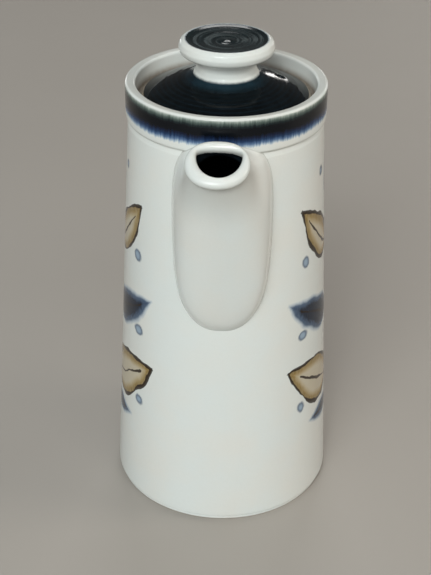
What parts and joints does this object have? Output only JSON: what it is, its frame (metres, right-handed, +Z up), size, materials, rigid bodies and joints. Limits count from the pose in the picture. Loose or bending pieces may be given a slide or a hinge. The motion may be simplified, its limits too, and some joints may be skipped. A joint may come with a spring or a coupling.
{
  "type": "coffee pot",
  "caption": "Tall tapered stoneware coffee pot with a banded collar, pouch spout, strap handle and a recessed lift-off lid with a mushroom knob.",
  "frame": {"origin": "on the turning axis of the vessel, on the plane of the foot ring that the pot stands on", "axes": "+Z up along the turning axis, -Y towards the spout, +Y towards the handle"},
  "size_m": [0.11, 0.176, 0.2354],
  "materials": {
    "white_glaze": "glossy off-white stoneware glaze with a dark painted band at the collar",
    "dark_glaze": "glossy blue-black glaze over throwing rings",
    "knob_glaze": "glossy off-white glaze with a blue-black painted top"
  },
  "bodies": {
    "pot": {"pot_body": "white_glaze", "spout": "white_glaze", "handle": "white_glaze"},
    "lid": {"lid": "dark_glaze", "lid_knob": "knob_glaze"}
  },
  "joints": [
    {"name": "lid_lift", "type": "slide", "parent": "pot", "child": "lid", "axis": [0, 0, 1], "range_m": [0, 0.06]}
  ]
}
